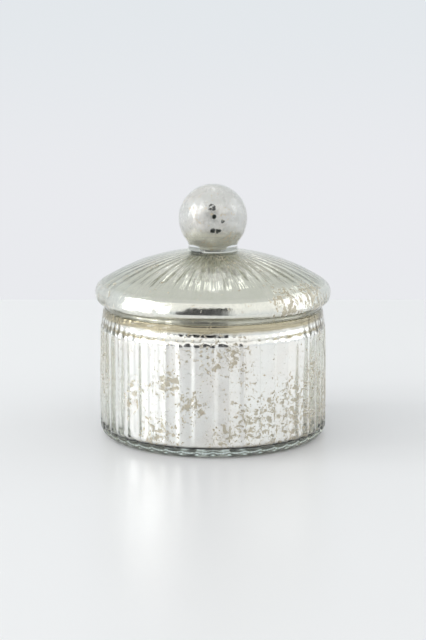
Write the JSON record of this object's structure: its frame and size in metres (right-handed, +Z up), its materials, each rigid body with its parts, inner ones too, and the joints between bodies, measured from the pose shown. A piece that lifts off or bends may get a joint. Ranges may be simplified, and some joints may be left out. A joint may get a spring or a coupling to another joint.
{
  "type": "tealight holder",
  "caption": "Low round silvered-glass jar with vertical reeds and a lift-off domed lid with a ball knob, holding one tealight.",
  "frame": {"origin": "middle of the foot, on the surface that the jar stands on", "axes": "+Z up along the axis of the jar, lid and knob"},
  "size_m": [0.0992, 0.0992, 0.1053],
  "materials": {
    "clear_glass": "clear, slightly wavy",
    "silvering": "antiqued, mottled with tan spots",
    "bond": "cured adhesive",
    "cup_metal": "thin drawn cup",
    "wax": "waxy",
    "tinplate": "stamped",
    "wick": "braided cotton, waxed"
  },
  "bodies": {
    "jar": {"jar_glass": "clear_glass", "jar_silvering": "silvering"},
    "lid": {"lid_glass": "clear_glass", "lid_silvering": "silvering", "knob_glass": "clear_glass", "knob_silvering": "silvering", "knob_bond": "bond"},
    "tealight": {"tealight_cup": "cup_metal", "tealight_wax": "wax", "wick_sustainer": "tinplate", "tealight_wick": "wick"}
  },
  "joints": [
    {"name": "lid_lift", "type": "slide", "parent": "jar", "child": "lid", "axis": [0, 0, 1], "range_m": [0, 0.1]},
    {"name": "tealight_lift", "type": "slide", "parent": "jar", "child": "tealight", "axis": [0, 0, 1], "range_m": [0, 0.045]}
  ]
}
